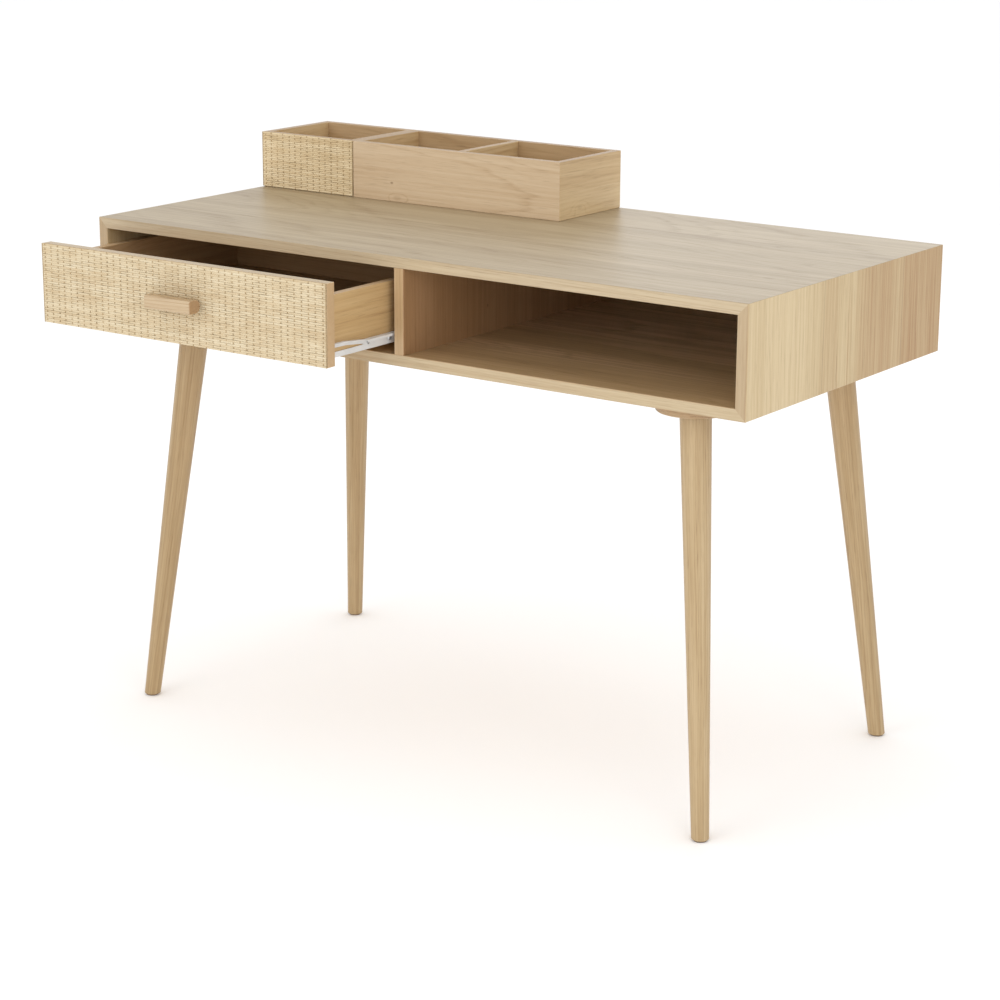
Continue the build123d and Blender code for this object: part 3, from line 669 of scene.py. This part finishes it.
def woven_panel(name, node, body, materials, clear=0.0):
    """Strands laid along X that pass over and under upright threads, on a thin cloth.

    clear is how far the panel stops short of the bottom and the right end of its board.
    """
    low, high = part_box(node)
    low.z += clear
    high.x -= clear
    width = high.x - low.x
    height = high.z - low.z
    middle_y = low.y + WEFT_BOW + 1.2 * WEFT_THICK
    warps = round(width / WARP_PITCH)
    wefts = round(height / WEFT_PITCH)
    warp_gap = width / warps
    weft_gap = height / wefts
    rightward = Vector((1, 0, 0))
    backward = Vector((0, 1, 0))
    upward = Vector((0, 0, 1))
    mesh = Mesh()

    warp_places = []
    for k in range(warps):
        warp_places.append(low.x + (k + 0.5) * warp_gap + dice.uniform(-WARP_STRAY, WARP_STRAY))

    places = [low.x, high.x]
    for k, warp in enumerate(warp_places):
        places += [warp + offset * MM for offset in BOW_SAMPLES]
        if k:
            places.append((warp + warp_places[k - 1]) / 2)
    places = sorted(min(high.x, max(low.x, x)) for x in places)

    for j in range(wefts):
        tone = dice.random()
        level = low.z + (j + 0.5) * weft_gap
        wide_here = weft_gap * dice.uniform(*WEFT_HALVES)
        line = []
        halves = []
        for x in places:
            bow = 0.0
            for k, warp in enumerate(warp_places):
                if abs(x - warp) < 4 * BOW_REACH:
                    side = 1 if (k + j) % 2 == 0 else -1
                    slack = 1 + 0.7 * noise.noise(Vector((k * 3.7, level * 22, 9.5)))
                    bow += side * slack * math.exp(-(((x - warp) / BOW_REACH) ** 2))
            sway = noise.noise(Vector((x * 38, j * 5.3, 0.5)))
            swell = noise.noise(Vector((x * 90, j * 7.1, 4.5)))
            wide = wide_here * (1 + 0.16 * swell)
            lowest = low.z + wide
            highest = high.z - wide
            z = min(highest, max(lowest, level + WEFT_SWAY * sway))
            line.append(Vector((x, middle_y - WEFT_BOW * bow, z)))
            halves.append((wide, WEFT_THICK * (1 + 0.2 * swell)))
        mesh.tube(line, upward, -backward, halves, tone, sides=WEFT_SIDES)

    # a heavier thread binds each cut edge; its darker colour also stands in as painted shade for the
    # shadow in the seam beside the box
    for x in (low.x + EDGE_HALF, high.x - EDGE_HALF):
        line = [Vector((x, middle_y - EDGE_PROUD, z)) for z in (low.z, (low.z + high.z) / 2, high.z)]
        mesh.tube(line, rightward, backward, [(EDGE_HALF, WARP_THICK)] * 3, 0.5, slot=1)

    for k, x in enumerate(warp_places):
        line = []
        halves = []
        for i in range(WARP_STEPS * wefts + 1):
            z = low.z + height * i / (WARP_STEPS * wefts)
            phase = math.cos(math.pi * ((z - low.z) / weft_gap - 0.5))
            side = -1 if k % 2 == 0 else 1
            line.append(Vector((x, middle_y - WARP_BOW * side * phase, z)))
            halves.append((WARP_HALF, WARP_THICK))
        mesh.tube(line, rightward, backward, halves, 0.5, slot=1)

    sheet_front = Vector((low.x, high.y - BACKING, low.z))
    mesh.plate(sheet_front, high, 0.5, 2)

    piece = mesh.build(name, materials)
    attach(piece, body)
    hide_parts(node)
    return piece


thread_and_cloth = [warp_thread("warp_thread"), backing_cloth("backing_cloth")]
drawer_materials = [raffia("drawer_raffia", RAFFIA_TONES)] + thread_and_cloth
box_materials = [raffia("box_raffia", BOX_RAFFIA_TONES)] + thread_and_cloth
woven_panel("drawer_weave", "drawer_woven_facing", "drawer", drawer_materials)
woven_panel("box_weave", "box_woven_facing", "desk", box_materials, clear=BOX_CLEAR)


# ================================================================ floor, light and camera
def studio_floor():
    """A wide pale floor, faintly uneven in tone."""
    reach = 40.0
    mesh = bpy.data.meshes.new("studio_floor")
    outline = [(-reach, -reach, 0), (reach, -reach, 0), (reach, reach, 0), (-reach, reach, 0)]
    mesh.from_pydata(outline, [], [(0, 1, 2, 3)])
    floor = bpy.data.objects.new("studio_floor", mesh)
    bpy.context.scene.collection.objects.link(floor)
    m = Recipe("studio_floor")
    cloud = m.noise(m.point, 0.8, detail=3.0)
    colour = m.ramp(cloud, ((0.3, (0.955, 0.955, 0.955, 1)), (0.7, (0.97, 0.97, 0.97, 1))))
    mesh.materials.append(m.finish(
        Base_Color=colour, Roughness=0.9, Specular_IOR_Level=0.1,
        Emission_Color=(1.0, 1.0, 1.0, 1.0), Emission_Strength=0.05,
    ))


def softbox(name, place, target, size, power):
    """A rectangular studio light aimed at a point, not seen by the camera itself."""
    light = bpy.data.lights.new(name, "AREA")
    light.shape = "RECTANGLE"
    light.size, light.size_y = size
    light.energy = power
    lamp = bpy.data.objects.new(name, light)
    aim = Vector(target) - Vector(place)
    lamp.location = place
    lamp.rotation_euler = aim.to_track_quat("-Z", "Y").to_euler()
    lamp.visible_camera = False
    bpy.context.scene.collection.objects.link(lamp)


def studio_light():
    world = bpy.data.worlds.new("studio_world")
    world.use_nodes = True
    background = world.node_tree.nodes["Background"]
    background.inputs["Color"].default_value = (1.0, 1.0, 1.0, 1.0)
    background.inputs["Strength"].default_value = 1.0
    bpy.context.scene.world = world
    softbox("top_light", (-0.6, -0.4, 3.4), (0, 0, 0.6), (3.4, 3.0), 10)
    softbox("front_light", (-0.8, -4.2, 2.0), (0, 0, 0.6), (2.6, 2.0), 28)
    softbox("right_light", (2.8, -1.9, 1.5), (0.5, 0, 0.65), (1.4, 1.4), 14)
    softbox("back_light", (-0.9, 3.6, 1.9), (0.3, 0.1, 0.75), (2.6, 1.6), 8)
    bpy.context.scene.view_settings.view_transform = "Standard"


def photo_camera():
    data = bpy.data.cameras.new("photo_camera")
    data.sensor_width = 36.0
    data.lens = CAMERA_LENS
    data.clip_start = 0.05
    data.clip_end = 200.0
    camera = bpy.data.objects.new("photo_camera", data)
    turn = Euler((math.pi / 2 - CAMERA_PITCH, 0, CAMERA_YAW)).to_matrix().to_4x4()
    roll = Matrix.Rotation(CAMERA_ROLL, 4, "Z")
    camera.matrix_world = Matrix.Translation(CAMERA_PLACE) @ turn @ roll
    bpy.context.scene.collection.objects.link(camera)
    bpy.context.scene.camera = camera


studio_floor()
studio_light()
photo_camera()
